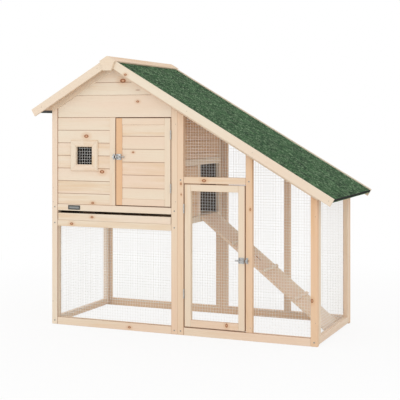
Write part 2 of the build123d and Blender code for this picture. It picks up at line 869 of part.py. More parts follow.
def bolt_base(x, z):
    with Locations((x, y_front - bolt_plate_thickness / 2, z)):
        Box(bolt_plate_length, bolt_plate_thickness, bolt_plate_height)
    for way in (-1, 1):
        bolt_guide(x + way * (bolt_plate_length - bolt_guide_length) / 2, z, bolt_guide_length)
    rod_bore(x, z, 2 * bolt_plate_length)


def bolt_rod(x, z, way):
    """Rod drawn back, with its tip just inside the door's edge and its knob at the far guide."""
    tip = x + way * (bolt_plate_length / 2 + bolt_edge_margin - bolt_tip_setback)
    with Locations(Location((tip - way * bolt_rod_length / 2, y_bolt, z), (0, 90, 0))):
        Cylinder(bolt_radius, bolt_rod_length)
    knob_x = x - way * bolt_travel / 2
    with Locations(Location((knob_x, y_bolt - bolt_knob_reach / 2, z), (90, 0, 0))):
        Cylinder(bolt_knob_radius, bolt_knob_reach)


house_bolt_x = house_door_x[0] + bolt_edge_margin + bolt_plate_length / 2
run_bolt_x = run_door_x[1] - bolt_edge_margin - bolt_plate_length / 2

for label, x, z, way in (
    ("house_bolt", house_bolt_x, house_bolt_height, -1),
    ("run_bolt", run_bolt_x, run_bolt_height, 1),
):
    with BuildPart() as base:
        bolt_base(x, z)
    save(base, f"{label}_base")
    with BuildPart() as rod:
        bolt_rod(x, z, way)
    save(rod, f"{label}_rod")

keeper_middles = [
    (x_door_opening - bolt_edge_margin - keeper_length / 2, house_bolt_height),
    (x_mid_post + bolt_edge_margin + keeper_length / 2, run_bolt_height),
]

with BuildPart() as bolt_keepers:
    for x, z in keeper_middles:
        with Locations((x, y_front - bolt_plate_thickness / 2, z)):
            Box(keeper_length, bolt_plate_thickness, bolt_plate_height)
        bolt_guide(x, z, keeper_length)
        rod_bore(x, z, 2 * keeper_length)
save(bolt_keepers, "bolt_keepers")

# Tray: base, three walls and a front that closes its slot

tray_x = (x_left_post_end + tray_side_gap, x_house_post - tray_side_gap)
tray_y = (y_front + tray_front_thickness, y_inner_rear - tray_rear_gap)
tray_floor = tray_rail_top + tray_lift
tray_wall_foot = tray_floor + tray_base_thickness

with BuildPart() as tray_front:
    beam(*tray_x, y_front, tray_y[0] - glue_line, tray_floor, tray_front_top)
    chamfer(tray_front.edges(), edge_ease)
save(tray_front, "tray_front")

with BuildPart() as tray_base:
    beam(*tray_x, *tray_y, tray_floor, tray_wall_foot - glue_line)
save(tray_base, "tray_base")

with BuildPart() as tray_walls:
    for x0 in (tray_x[0], tray_x[1] - tray_wall_thickness):
        beam(x0, x0 + tray_wall_thickness, *tray_y, tray_wall_foot, floor_rail_top)
    beam(
        tray_x[0] + tray_wall_thickness + glue_line,
        tray_x[1] - tray_wall_thickness - glue_line,
        tray_y[1] - tray_wall_thickness,
        tray_y[1],
        tray_wall_foot,
        floor_rail_top,
    )
    chamfer(tray_walls.edges(), edge_ease)
save(tray_walls, "tray_walls")

with BuildPart() as tray_runners:
    for x0 in (x_inner_left + glue_line, x_partition - runner_width - glue_line):
        beam(x0, x0 + runner_width, *side_span, tray_rail_top - runner_height, tray_rail_top)
    chamfer(tray_runners.edges(), edge_ease)
save(tray_runners, "tray_runners")

# Ramp from the doorway's floor rail to the ground, with cross cleats

ramp_head = (x_house_end + glue_line, floor_rail_top)
x_ramp_foot = x_inner_right - mesh_thickness - ramp_foot_gap
ramp_run = x_ramp_foot - ramp_head[0]
ramp_reach = hypot(ramp_run, floor_rail_top)
ramp_angle = atan2(floor_rail_top, ramp_run) - asin(ramp_thickness / ramp_reach)
ramp_up = (sin(ramp_angle), cos(ramp_angle))
ramp_y = y_front + ramp_near

with BuildPart() as ramp_board:
    with BuildSketch(upright_plane(ramp_y)):
        Polygon(
            ramp_head,
            (x_ramp_foot + ramp_thickness * ramp_up[0], ramp_thickness * ramp_up[1]),
            (x_ramp_foot, 0.0),
            (ramp_head[0], ramp_head[1] - ramp_thickness / cos(ramp_angle)),
            align=None,
        )
    extrude(amount=-ramp_width)
    chamfer(ramp_board.edges(), edge_ease)
save(ramp_board, "ramp_board")

ramp_surface = Plane(
    origin=(ramp_head[0], ramp_y + ramp_width / 2, ramp_head[1]),
    x_dir=(cos(ramp_angle), 0, -sin(ramp_angle)),
    z_dir=(sin(ramp_angle), 0, cos(ramp_angle)),
)

with BuildPart() as ramp_cleats:
    with BuildSketch(ramp_surface.offset(glue_line)):
        for n in range(cleat_count):
            with Locations((first_cleat + n * cleat_spacing, 0)):
                Rectangle(cleat_width, ramp_width - 2 * edge_ease)
    extrude(amount=cleat_height)
    chamfer(ramp_cleats.edges(), edge_ease)
save(ramp_cleats, "ramp_cleats")

# Screws, each with a round head on the face and a shank in the wood behind it


def screws(places, size, y_face):
    """Screws driven straight back through a face at y_face, at (x, z) places."""
    head_radius, head_height, shank_radius, shank_length = size
    for x, z in places:
        with Locations(Location((x, y_face - head_height / 2, z), (90, 0, 0))):
            Cylinder(head_radius, head_height)
        with Locations(Location((x, y_face + shank_length / 2, z), (90, 0, 0))):
            Cylinder(shank_radius, shank_length)


def hinge_screws(hinges, side):
    """Screws driven sideways through a leaf, with their heads sunk flush in it."""
    x_hinge, gap, _, heights = hinges
    head_radius, head_height, shank_radius, shank_length = fitting_screw
    x_face = x_hinge + side * (gap / 2 - hinge_leaf_thickness)
    for z in heights:
        for way in (-1, 1):
            z_screw = z + way * hinge_screw_pitch / 2
            with Locations(Location((x_face + side * head_height / 2, y_leaf_middle, z_screw), (0, 90, 0))):
                Cylinder(head_radius, head_height)
            with Locations(Location((x_face + side * shank_length / 2, y_leaf_middle, z_screw), (0, 90, 0))):
                Cylinder(shank_radius, shank_length)


def bolt_screw_places(x_list, z):
    return [(x, z + way * bolt_screw_offset) for x in x_list for way in (-1, 1)]


half_stock = stock_width / 2
frame_screw_places = [
    (x + half_stock, bottom_rail_height / 2) for x in (x_left, x_house_post, x_house_end, x_right_post)
]
for z in (tray_rail_top - tray_rail_height / 2, sill_top - sill_height / 2):
    frame_screw_places += [(x + half_stock, z) for x in (x_left, x_house_post)]
frame_screw_places += [
    (x + half_stock, transom_bottom + transom_height / 2) for x in (x_house_end, x_mid_post)
]

with BuildPart() as frame_screws:
    screws(frame_screw_places, frame_screw, y_front)
save(frame_screws, "frame_screws")

y_plate_face = y_front - bolt_plate_thickness

with BuildPart() as house_door_screws:
    hinge_screws(house_hinges, -1)
    plate_xs = (house_bolt_x - bolt_screw_offset, house_bolt_x + bolt_screw_offset)
    screws(bolt_screw_places(plate_xs, house_bolt_height), fitting_screw, y_plate_face)
save(house_door_screws, "house_door_screws")

with BuildPart() as run_door_screws:
    hinge_screws(run_hinges, 1)
    plate_xs = (run_bolt_x - bolt_screw_offset, run_bolt_x + bolt_screw_offset)
    screws(bolt_screw_places(plate_xs, run_bolt_height), fitting_screw, y_plate_face)
save(run_door_screws, "run_door_screws")

with BuildPart() as frame_fitting_screws:
    hinge_screws(house_hinges, 1)
    hinge_screws(run_hinges, -1)
    for x, z in keeper_middles:
        screws(bolt_screw_places([x], z), fitting_screw, y_plate_face)
save(frame_fitting_screws, "frame_fitting_screws")
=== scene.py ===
import math

import bpy
import numpy as np
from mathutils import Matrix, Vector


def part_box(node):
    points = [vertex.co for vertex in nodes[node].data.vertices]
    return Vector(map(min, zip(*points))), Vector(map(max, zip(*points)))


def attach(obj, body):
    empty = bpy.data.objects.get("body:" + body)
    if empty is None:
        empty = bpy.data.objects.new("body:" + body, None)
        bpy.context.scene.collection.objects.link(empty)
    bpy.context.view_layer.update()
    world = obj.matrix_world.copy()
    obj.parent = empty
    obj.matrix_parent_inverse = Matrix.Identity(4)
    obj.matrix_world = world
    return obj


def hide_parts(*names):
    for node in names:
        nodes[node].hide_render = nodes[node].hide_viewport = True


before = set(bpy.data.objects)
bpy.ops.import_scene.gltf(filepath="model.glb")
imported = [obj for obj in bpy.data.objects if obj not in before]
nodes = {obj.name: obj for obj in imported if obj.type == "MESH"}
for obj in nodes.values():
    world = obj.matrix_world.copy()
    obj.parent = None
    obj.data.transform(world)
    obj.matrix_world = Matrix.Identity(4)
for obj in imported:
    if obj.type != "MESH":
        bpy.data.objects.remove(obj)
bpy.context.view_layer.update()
print("frame loaded:", len(nodes), "nodes")

mm = 0.001
random = np.random.default_rng(11)

# lines of the hutch that several pieces share, read from the frame
roofPitch = math.radians(30.4)
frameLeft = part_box("house_front_posts")[0].x
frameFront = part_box("house_front_posts")[0].y
ridgeX = (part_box("roof_board_left")[1].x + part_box("roof_board_right")[0].x) / 2
boardPitch = 58 * mm
doorBoardSawnOff = 9.7 * mm  # of the lowest board in the house door
houseDoorGap = 2.5 * mm
runDoorGap = 3.5 * mm
gapShadeEdge = 1.3 * mm  # painted shade, brown, on the wood each side of a gap
sidingShadeLine = {"fromLeft": 30 * mm, "half": 1.6 * mm}  # painted shade line where the siding meets the left post
rampPitch = math.atan2(499.0, 600.0)
midHeight = 450 * mm  # rails above it are cut from other timber than those below


def fromCorner(x, z):  # millimetres from the front left foot, as metres in the part's frame
    return (frameLeft + x * mm, frameFront, z * mm)


# shader maths: a socket that can be added, multiplied and compared


class Socket:
    def __init__(self, sheet, output):
        self.sheet = sheet
        self.output = output

    def maths(self, operation, *others):
        return self.sheet.add("ShaderNodeMath", {"operation": operation}, [self, *others])

    def __add__(self, other):
        return self.maths("ADD", other)

    def __radd__(self, other):
        return self.maths("ADD", other)

    def __sub__(self, other):
        return self.maths("SUBTRACT", other)

    def __rsub__(self, other):
        return self.sheet.add("ShaderNodeMath", {"operation": "SUBTRACT"}, [other, self])

    def __mul__(self, other):
        return self.maths("MULTIPLY", other)

    def __rmul__(self, other):
        return self.maths("MULTIPLY", other)

    def __truediv__(self, other):
        return self.maths("DIVIDE", other)

    def __gt__(self, other):
        return self.maths("GREATER_THAN", other)

    def __lt__(self, other):
        return self.maths("LESS_THAN", other)

    def __abs__(self):
        return self.maths("ABSOLUTE")

    def __pow__(self, other):
        return self.maths("POWER", other)


class Sheet:
    def __init__(self, name):
        self.material = bpy.data.materials.new(name)
        self.material.use_nodes = True
        self.tree = self.material.node_tree
        self.shader = self.tree.nodes["Principled BSDF"]

    def add(self, kind, settings=None, sockets=None, output=0):
        node = self.tree.nodes.new(kind)
        for key, value in (settings or {}).items():
            setattr(node, key, value)
        items = sockets.items() if isinstance(sockets, dict) else enumerate(sockets or [])
        for key, value in items:
            self.feed(node.inputs[key], value)
        return Socket(self, node.outputs[output])

    def feed(self, target, value):
        if isinstance(value, Socket):
            self.tree.links.new(value.output, target)
        else:
            target.default_value = value

    def position(self):
        place = self.add("ShaderNodeTexCoord", output="Object")
        apart = self.tree.nodes.new("ShaderNodeSeparateXYZ")
        self.feed(apart.inputs[0], place)
        return [Socket(self, out) for out in apart.outputs]

    def vector(self, x, y, z):
        return self.add("ShaderNodeCombineXYZ", None, [x, y, z])

    def noise(self, vector, scale, detail=2.0, roughness=0.5):
        sockets = {"Vector": vector, "Scale": scale, "Detail": detail, "Roughness": roughness}
        return self.add("ShaderNodeTexNoise", None, sockets)

    def ramp(self, value, low, high):  # 0 below low, 1 above high, smooth between them
        sockets = {"Value": value, "From Min": low, "From Max": high}
        return self.add("ShaderNodeMapRange", {"interpolation_type": "SMOOTHSTEP"}, sockets)

    def mix(self, factor, first, second):  # of two colours
        node = self.tree.nodes.new("ShaderNodeMix")
        node.data_type = "RGBA"
        self.feed(node.inputs[0], factor)
        self.feed(node.inputs[6], first)
        self.feed(node.inputs[7], second)
        return Socket(self, node.outputs[2])

    def pick(self, value):  # three random numbers from one
        sockets = {"W": value}
        noise = self.add("ShaderNodeTexWhiteNoise", {"noise_dimensions": "1D"}, sockets, "Color")
        apart = self.tree.nodes.new("ShaderNodeSeparateColor")
        self.feed(apart.inputs[0], noise)
        return [Socket(self, out) for out in apart.outputs]

    def bump(self, height, distance, strength=1.0):
        sockets = {"Height": height, "Distance": distance, "Strength": strength}
        return self.add("ShaderNodeBump", None, sockets)

    def finish(self, **values):
        for key, value in values.items():
            self.feed(self.shader.inputs[key.replace("_", " ")], value)
        return self.material


def colour(red, green, blue):  # sRGB 0 to 255 as linear light
    parts = [value / 255 for value in (red, green, blue)]
    return (*[part / 12.92 if part < 0.04 else ((part + 0.055) / 1.055) ** 2.4 for part in parts], 1.0)


# wood and the felt that meets it

felt = {
    "green": colour(56, 92, 56),
    "dark": colour(30, 54, 32),
    "light": colour(140, 168, 130),
    "edge": colour(26, 26, 26),
    "grit": 5.5 * mm,
    "turnUnder": 22 * mm,
    "edgeWidth": 3.5 * mm,
}

pine = {
    "pale": colour(232, 219, 198),
    "rosy": colour(233, 211, 190),
    "warm": colour(222, 193, 158),
    "deep": colour(206, 158, 112),
    "tan": colour(224, 176, 130),
    # painted shade for the joints and gaps between pieces
    "groove": colour(150, 96, 58),
    # painted shade for the faces within the house
    "paintedIndoorShade": colour(66, 48, 34),
    "knotRim": colour(150, 88, 44),
    "knotHeart": colour(206, 150, 112),
    "ringPitch": 5.5 * mm,
    "fibreDepth": 0.12 * mm,
    "lineDepth": 5 * mm,
    "grooveNear": 0.5 * mm,
    "grooveFar": 2.3 * mm,
}

# knots that show in front: millimetres from the front left foot, and radius
frontKnots = {
    "front_gable_boards": [(366, 1118, 10)],
    "front_header_board": [(440, 1024, 5)],
    "front_siding_boards": [(179, 868, 8), (260, 707, 8), (212, 564, 5)],
    "house_door_boards": [(417, 797, 4)],
    "tray_front": [(210, 500, 5)],
    "tray_support_rails": [(104, 466, 6)],
    "run_transom": [(761, 678, 7)],
    "run_door_frame": [(866, 58, 6)],
    "front_barge_boards": [(404, 1142, 5)],
    "run_front_posts": [(974, 560, 4), (652, 662, 4), (653, 615, 3), (1246, 190, 6)],
    "front_bottom_rails": [(400, 14, 5)],
}


def turned(sheet, along, x, y, z):  # grain direction first, then the two ways across it
    if along == "X":
        return x, z, y
    if along == "Y":
        return y, z, x
    if along == "Z":
        return z, x, y
    slope = roofPitch if along == "roof" else rampPitch
    start = ridgeX if along == "roof" else frameLeft
    away = abs(x - start)
    return away * math.cos(slope) - z * math.sin(slope), away * math.sin(slope) + z * math.cos(slope), y


def wood(
    name,
    along,
    seed,
    cuts=None,
    boards=None,
    rails=None,
    mitre=None,
    knots=(),
    warmth=0.0,
    tan=0.0,
    paintedIndoorShade=None,
    lines=(),
    turnedUnder=0.0,
    knotty=1.0,
):
    sheet = Sheet(name)
    x, y, z = sheet.position()
    axes = {"X": x, "Y": y, "Z": z}
    u, v, w = turned(sheet, along, x, y, z)
    piece = Socket(sheet, sheet.add("ShaderNodeValue").output) + float(seed)
    if cuts:
        axis, places = cuts
        for place in places:
            piece = piece + (axes[axis] > place)
    if boards:
        piece = piece + ((z - boards) / boardPitch).maths("FLOOR")
    chosen = None
    if rails:
        axis, low, high, across = rails
        chosen = (axes[axis] > low) * (axes[axis] < high)
    if mitre:
        middleX, middleZ, across = mitre
        chosen = abs(x - middleX) > abs(z - middleZ)
        piece = piece + (x > middleX) + 2 * (z > middleZ)
    if chosen is not None:
        other = turned(sheet, across, x, y, z)
        u, v, w = [a * (1 - chosen) + b * chosen for a, b in zip((u, v, w), other)]
        piece = piece + chosen * 7 + chosen * (z > midHeight)
    one, two, three = sheet.pick(piece)
    u = u + one * 9
    v = v + two * 0.7
    w = w + three * 0.5

    halo = None
    for knotX, knotZ, radius in knots:
        placeX, _, placeZ = fromCorner(knotX, knotZ)
        stretch = (1.5, 1.0) if along in ("X", "roof") else (1.0, 1.5)
        away = (((x - placeX) / stretch[0]) ** 2 + ((z - placeZ) / stretch[1]) ** 2) ** 0.5
        heart = 1 - sheet.ramp(away, radius * 0.2 * mm, radius * 0.6 * mm)
        rim = 1 - sheet.ramp(away, radius * 0.75 * mm, radius * 1.15 * mm) - heart * 0.9
        glow = 1 - sheet.ramp(away, radius * 0.9 * mm, radius * 3.2 * mm)
        if halo is None:
            halo, allRims, allHearts = glow, rim, heart
        else:
            halo, allRims, allHearts = halo + glow, allRims + rim, allHearts + heart

    # rings round a pith line that wanders behind the face
    wander = sheet.noise(sheet.vector(u * 1.6, v * 5, w * 5), 1.0, 2.0)
    pith = ((v - 0.35 + (wander - 0.5) * 0.07) ** 2 + (w - 0.2) ** 2) ** 0.5
    if halo is not None:
        pith = pith + halo * 6 * mm
    rings = (pith * (2 * math.pi / pine["ringPitch"])).maths("SINE") * 0.5 + 0.5
    lateWood = rings ** 3.0
    streaks = sheet.noise(sheet.vector(u * 2.2, v * 34, w * 34), 1.0, 3.0, 0.6)
    fibre = sheet.noise(sheet.vector(u * 30, v * 900, w * 900), 1.0, 2.0)
    clouds = sheet.noise(sheet.vector(u * 1.2, v * 7, w * 7), 1.0, 2.0)

    base = sheet.mix(sheet.ramp(clouds, 0.35, 0.7), pine["pale"], pine["rosy"])
    base = sheet.mix(sheet.ramp(streaks + (one - 0.5) * 0.24 + warmth, 0.5, 0.84) * 0.8, base, pine["warm"])
    base = sheet.mix(lateWood * sheet.ramp(streaks, 0.3, 0.7) * 0.34, base, pine["warm"])
    base = sheet.mix(sheet.ramp(streaks + warmth, 0.68, 0.98) * 0.5, base, pine["deep"])
    base = sheet.mix((fibre - 0.5) * 0.25 + 0.05, base, pine["deep"])
    if isinstance(tan, tuple):  # timbers beyond a place on one axis are of warmer wood
        axis, place, below, above = tan
        tan = (axes[axis] > place) * (above - below) + below
    base = sheet.mix(tan, base, pine["tan"])
    if halo is not None:
        base = sheet.mix(halo * 0.4, base, pine["deep"])
        base = sheet.mix(allRims, base, pine["knotRim"])
        base = sheet.mix(allHearts * 0.7, base, pine["knotHeart"])
    # a few small knots of its own
    cells = {"Vector": sheet.vector(u * 2.4, v * 9, w * 9), "Scale": 1.0, "Randomness": 1.0}
    near = sheet.add("ShaderNodeTexVoronoi", None, cells, "Distance")
    pin = 1 - sheet.ramp(near, 0.015 * knotty, 0.04 * knotty)
    base = sheet.mix(pin * 0.5 * knotty, base, pine["knotRim"])
    if boards:  # painted shade in the joints between boards, by the height above the nearest one
        course = (z - boards) / boardPitch
        part = course - course.maths("FLOOR")
        away = (0.5 - abs(part - 0.5)) * boardPitch
        joint = 1 - sheet.ramp(away, pine["grooveNear"], pine["grooveFar"])
        base = sheet.mix(joint * 0.55, base, pine["groove"])
    # painted shade: the faces within the house are darkened almost to dark brown
    if paintedIndoorShade:
        axis, place, way = paintedIndoorShade
        base = sheet.mix(((axes[axis] - place) * way > 0.0) * 0.92, base, pine["paintedIndoorShade"])
    for axis, place, half in lines:  # painted shade: brown on the edges beside the gaps round a door, and where the siding meets the post
        near = (abs(axes[axis] - place) < half) * (y < frameFront + pine["lineDepth"])
        base = sheet.mix(near * 0.75, base, pine["groove"])
    if turnedUnder:  # the felt comes round the eave and a little way in under the boards
        base = sheet.mix(abs(x - ridgeX) > turnedUnder, base, felt["edge"])
    rough = 0.58 + streaks * 0.14
    normal = sheet.bump(fibre * 0.6 + lateWood * 0.4, pine["fibreDepth"])
    return sheet.finish(Base_Color=base, Roughness=rough, Normal=normal)


def middle(node):
    low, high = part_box(node)
    return [(a + b) / 2 for a, b in zip(low, high)]


def postCuts():  # places between one post and the next
    spans = ("front_siding_boards", "run_transom", "mesh_run_bay")
    return ("X", [middle(node)[0] for node in spans] + [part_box("run_front_posts")[0].x])


def indoorShadeHalf(node, axis, way):  # the half of a wall's thickness that faces into the house, where shade is painted
    return (axis, middle(node)["XYZ".index(axis)], way)


def between(node, axis, width=30.4 * mm):  # the stretch between a frame's two stiles
    low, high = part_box(node)
    index = "XYZ".index(axis)
    return low[index] + width, high[index] - width


def gapShadeLines(door, gap, sides):  # painted shade lines round a door: L, R, T and B for its four gaps
    low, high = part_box(door)
    half = gap / 2 + gapShadeEdge
    places = {
        "L": ("X", low.x - gap / 2, half),
        "R": ("X", high.x + gap / 2, half),
        "B": ("Z", low.z - gap / 2, half),
        "T": ("Z", high.z + gap / 2, half),
    }
    return [places[side] for side in sides]


def houseGapShadeLines(sides):
    return gapShadeLines("house_door_frame", houseDoorGap, sides)


def runGapShadeLines(sides):
    return gapShadeLines("run_door_frame", runDoorGap, sides)


def eave(node, side):  # distance from the ridge at which the felt starts under the boards
    low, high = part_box(node)
    edge = low.x if side < 0 else high.x
    return abs(edge - ridgeX) - felt["turnUnder"]


def dressWood():
    windowX, _, windowZ = middle("window_frame")
    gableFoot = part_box("front_gable_boards")[0].z
    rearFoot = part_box("rear_wall_boards")[0].z
    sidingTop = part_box("front_header_board")[0].z
    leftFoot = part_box("left_wall_boards")[0].z
    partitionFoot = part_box("partition_boards")[0].z
    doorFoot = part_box("house_door_boards")[0].z - doorBoardSawnOff
    doorStile = between("house_door_frame", "X")[0]
    # painted shade down the left post where the siding meets it
    siding = ("X", frameLeft + sidingShadeLine["fromLeft"], sidingShadeLine["half"])
    bayMiddle = middle("mesh_run_bay")[0]
    posts = postCuts()
    halves = ("X", [ridgeX])
    runHalf = ("X", [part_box("run_front_posts")[0].x])
    timbers = {
        "house_front_posts": dict(
            along="Z", cuts=posts, warmth=-0.24, tan=("X", ridgeX, 0.0, 0.3), lines=[siding] + houseGapShadeLines("R")
        ),
        "run_front_posts": dict(
            along="Z", cuts=posts, warmth=0.12, tan=("X", bayMiddle, 0.4, 0.62), lines=runGapShadeLines("LR")
        ),
        "rear_posts": dict(along="Z", cuts=posts, warmth=-0.3, tan=0.5, knotty=1.5),
        "door_jamb": dict(along="Z", tan=0.1, lines=houseGapShadeLines("L")),
        "front_bottom_rails": dict(along="X", cuts=runHalf, warmth=0.0, tan=0.12, lines=runGapShadeLines("B")),
        "rear_bottom_rails": dict(along="X", cuts=runHalf, warmth=0.0, tan=0.5),
        "tray_support_rails": dict(along="X", cuts=("Y", [0.0]), warmth=0.03, tan=0.1),
        "house_sill_rail": dict(along="X", lines=houseGapShadeLines("B")),
        "run_transom": dict(along="X", tan=0.25, lines=runGapShadeLines("T")),
        "front_rafters": dict(along="roof", cuts=halves, tan=0.12),
        "rear_rafters": dict(along="roof", cuts=halves, warmth=0.05, tan=0.12),
        "front_barge_boards": dict(along="roof", cuts=halves, warmth=-0.2),
        "rear_barge_boards": dict(along="roof", cuts=halves),
        "ridge_cap_boards": dict(along="Y", cuts=halves, warmth=0.05, tan=0.2),
        "ridge_end_plates": dict(along="X", warmth=-0.05, tan=0.1),
        "roof_board_left": dict(along="roof", warmth=0.08, tan=0.4, turnedUnder=eave("roof_board_left", -1)),
        "roof_board_right": dict(along="roof", warmth=0.08, tan=0.4, turnedUnder=eave("roof_board_right", 1)),
        "front_header_board": dict(
            along="X", warmth=-0.06, paintedIndoorShade=indoorShadeHalf("front_header_board", "Y", 1), lines=houseGapShadeLines("T")
        ),
        "front_gable_boards": dict(along="X", boards=gableFoot, paintedIndoorShade=indoorShadeHalf("front_gable_boards", "Y", 1)),
        "front_siding_boards": dict(
            along="X", boards=sidingTop, paintedIndoorShade=indoorShadeHalf("front_siding_boards", "Y", 1)
        ),
        "house_door_boards": dict(along="X", boards=doorFoot, tan=0.08),
        "rear_wall_boards": dict(along="X", boards=rearFoot, paintedIndoorShade=indoorShadeHalf("rear_wall_boards", "Y", -1)),
        "left_wall_boards": dict(along="Y", boards=leftFoot, paintedIndoorShade=indoorShadeHalf("left_wall_boards", "X", 1)),
        "partition_boards": dict(
            along="Y",
            boards=partitionFoot,
            warmth=0.14,
            tan=0.45,
            paintedIndoorShade=indoorShadeHalf("partition_boards", "X", -1),
        ),
        "left_side_frame": dict(along="Z", rails=("Y", *between("left_side_frame", "Y"), "Y"), tan=0.1),
        "right_side_frame": dict(along="Z", rails=("Y", *between("right_side_frame", "Y"), "Y"), tan=0.1),
        "partition_frame": dict(along="Z", rails=("Y", *between("partition_frame", "Y"), "Y"), warmth=-0.2),
        "house_door_frame": dict(
            along="Z",
            rails=("X", *between("house_door_frame", "X"), "X"),
            tan=("X", doorStile, 0.85, 0.12),
            lines=houseGapShadeLines("LRTB"),
        ),
        "run_door_frame": dict(
            along="Z", rails=("X", *between("run_door_frame", "X"), "X"), tan=0.15, lines=runGapShadeLines("LRTB")
        ),
        "window_frame": dict(along="X", mitre=(windowX, windowZ, "Z"), tan=0.05),
        "tray_front": dict(along="X", warmth=0.02),
        "tray_base": dict(along="Y", warmth=0.06),
        "tray_walls": dict(along="Y", warmth=0.04),
        "tray_runners": dict(along="Y", cuts=("X", [middle("tray_base")[0]]), warmth=0.08),
        "ramp_board": dict(along="ramp", warmth=-0.35, tan=0.25, knotty=1.7),
        "ramp_cleats": dict(along="Y", warmth=-0.3),
    }
    for seed, (node, look) in enumerate(timbers.items()):
        knots = frontKnots.get(node, ())
        dress(node, wood("pine " + node.replace("_", " "), seed=seed * 13 + 3, knots=knots, **look))
    print("wood:", len(timbers), "nodes")


def dress(node, material):
    slots = nodes[node].data.materials
    slots.clear()
    slots.append(material)


# roof covering

def feltMaterial():
    sheet = Sheet("green roofing felt")
    x, y, z = sheet.position()
    place = sheet.vector(x, y, z)
    specks = []
    for size in (felt["grit"], felt["grit"] * 2.2):
        grit = sheet.add("ShaderNodeTexVoronoi", None, {"Vector": place, "Scale": 1 / size}, "Color")
        apart = sheet.tree.nodes.new("ShaderNodeSeparateColor")
        sheet.feed(apart.inputs[0], grit)
        specks.append(Socket(sheet, apart.outputs[0]))
    speck, blotch = specks
    patches = sheet.noise(place, 22.0, 3.0, 0.65)
    fine = sheet.noise(place, 420.0, 2.0, 0.7)
    base = sheet.mix(sheet.ramp(patches, 0.3, 0.65), felt["dark"], felt["green"])
    base = sheet.mix(sheet.ramp(speck, 0.78, 0.97) * 0.75, base, felt["light"])
    base = sheet.mix(sheet.ramp(blotch, 0.75, 0.98) * 0.35, base, felt["light"])
    base = sheet.mix((1 - sheet.ramp(speck, 0.05, 0.32)) * 0.7, base, felt["dark"])
    low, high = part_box("roof_felt_left")[0].x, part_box("roof_felt_right")[1].x
    edge = (x < low + felt["edgeWidth"]) + (x > high - felt["edgeWidth"])
    base = sheet.mix(edge, base, felt["edge"])
    normal = sheet.bump(fine + speck * 0.5, 0.5 * mm)
    return sheet.finish(Base_Color=base, Roughness=0.86 + fine * 0.1, Normal=normal, Specular_IOR_Level=0.15)


# metal

zinc = {"colour": colour(196, 196, 194), "dull": colour(150, 150, 150), "roughness": 0.34}


def zincMaterial(name, tint, roughness, metallic=0.9):
    sheet = Sheet(name)
    place = sheet.vector(*sheet.position())
    cloud = sheet.noise(place, 90.0, 3.0, 0.6)
    stretched = [part * scale for part, scale in zip(sheet.position(), (900, 900, 60))]
    scratch = sheet.noise(sheet.vector(*stretched), 1.0)
    base = sheet.mix(sheet.ramp(cloud, 0.3, 0.75) * metallic, tint, zinc["dull"])
    normal = sheet.bump(scratch, 0.03 * mm)
    rough = roughness + (cloud - 0.5) * 0.2
    return sheet.finish(Base_Color=base, Roughness=rough, Metallic=metallic, Normal=normal)


plate = {
    "halfLong": 25 * mm,
    "halfHigh": 4.5 * mm,
    "rim": colour(52, 54, 52),
    "field": colour(150, 152, 150),
    "brushed": colour(90, 92, 90),
}


def plateMaterial():
    sheet = Sheet("dark plate")
    x, y, z = sheet.position()
    middleX, _, middleZ = middle("blank_label_plate")
    inner = (abs(x - middleX) < plate["halfLong"]) * (abs(z - middleZ) < plate["halfHigh"])
    grain = sheet.noise(sheet.vector(x * 60, y, z * 900), 1.0)
    base = sheet.mix(inner * 0.8, plate["rim"], plate["field"])
    base = sheet.mix(grain * 0.25, base, plate["brushed"])
    return sheet.finish(Base_Color=base, Roughness=0.42 + grain * 0.1)


# welded mesh: straight round wires, level ones lying in front of upright ones

mesh = {
    "pitch": 12.7 * mm,
    "wire": 0.9 * mm,
    "windowWire": 1.2 * mm,
    "sides": 6,
    "bend": 0.12 * mm,
}

staple = {
    "every": 76 * mm,
    "wide": 9 * mm,
    "radius": 0.45 * mm,
    "inset": 4 * mm,
    "first": 40 * mm,
    "last": 20 * mm,
    "proud": 0.25 * mm,
    "legs": 1.6 * mm,
    "tilt": 0.25,
}


def rods(name, starts, ends, radius, sides=6):
    # each rod is a prism: its ring is the two vectors square to its line, turned round the circle
    starts, ends = np.asarray(starts, float), np.asarray(ends, float)
    line = ends - starts
    line /= np.linalg.norm(line, axis=1)[:, None]
    helper = np.where(np.abs(line[:, 2:3]) > 0.9, [[1.0, 0, 0]], [[0, 0, 1.0]])
    side = np.cross(line, helper)
    side /= np.linalg.norm(side, axis=1)[:, None]
    other = np.cross(line, side)
    angle = np.arange(sides) * 2 * math.pi / sides
    cosine, sine = np.cos(angle)[None, :, None], np.sin(angle)[None, :, None]
    ring = radius * (cosine * side[:, None] + sine * other[:, None])
    points = np.stack([starts[:, None] + ring, ends[:, None] + ring], axis=1).reshape(-1, 3)
    count = len(starts)
    first = np.arange(count)[:, None] * 2 * sides
    here = np.arange(sides)
    after = (here + 1) % sides
    walls = np.stack([first + here, first + after, first + after + sides, first + here + sides], -1)
    walls = walls.reshape(-1, 4)
    capA = first + here[::-1][None, :]
    capB = first + sides + here[None, :]
    return solid(name, points, walls[:, ::-1].tolist() + capA[:, ::-1].tolist() + capB[:, ::-1].tolist())


def solid(name, points, faces):
    shape = bpy.data.meshes.new(name)
    shape.from_pydata(points.tolist(), [], faces)
    shape.update()
    piece = bpy.data.objects.new(name, shape)
    bpy.context.scene.collection.objects.link(piece)
    return piece


def closeWires(low, high, pitch):  # places of the wires between two edges, centred
    count = int((high - low) / pitch)
    start = (low + high - count * pitch) / 2
    return start + np.arange(count + 1) * pitch


def pointOn(a, b):  # makes points of a panel whose level axis is a and whose depth is b
    def point(place, deep, height):
        spot = [0.0, 0.0, height]
        spot[a], spot[b] = place, deep
        return spot

    return point


